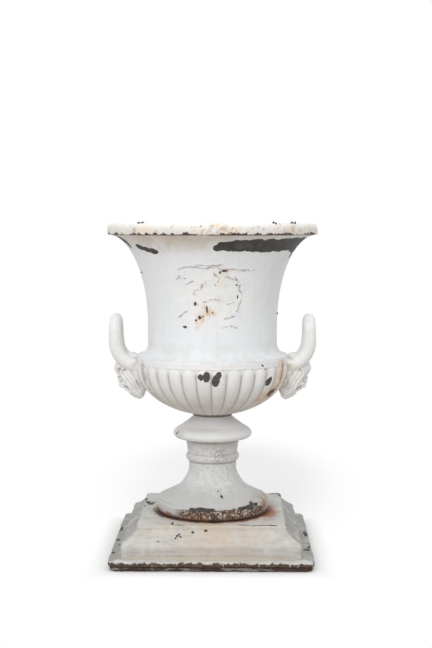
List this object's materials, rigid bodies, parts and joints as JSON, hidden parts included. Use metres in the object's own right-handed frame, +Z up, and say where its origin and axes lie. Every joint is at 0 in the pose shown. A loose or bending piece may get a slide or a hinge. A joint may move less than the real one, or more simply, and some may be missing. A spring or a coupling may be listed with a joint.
{
  "type": "garden urn",
  "caption": "Campana-shaped cast iron garden urn: flared bell on a lobed bowl with mask and loop handles, on a turned stem and a hollow square plinth.",
  "frame": {"origin": "on the ground under the middle of the plinth", "axes": "+Z up along the urn's axis, +X towards the right handle, -Y towards the viewer"},
  "size_m": [0.49, 0.4898, 0.764],
  "materials": {
    "painted_iron": "old white paint, chipped to dark iron and rust",
    "rusty_iron": "bare iron with brown rust"
  },
  "bodies": {
    "root": {"plinth": "painted_iron", "stem": "painted_iron", "bowl": "painted_iron", "bell": "painted_iron", "handle_right": "painted_iron", "handle_left": "painted_iron", "tie_rod": "rusty_iron", "bridge_bar": "rusty_iron", "tie_rod_bottom_washer": "rusty_iron", "tie_rod_bottom_nut": "rusty_iron", "tie_rod_top_washer": "rusty_iron", "tie_rod_top_nut": "rusty_iron", "lug_bolts": "rusty_iron", "lug_washers": "rusty_iron", "lug_nuts": "rusty_iron", "handle_bolts_right": "rusty_iron", "handle_washers_right": "rusty_iron", "handle_bolts_left": "rusty_iron", "handle_washers_left": "rusty_iron"}
  },
  "joints": []
}
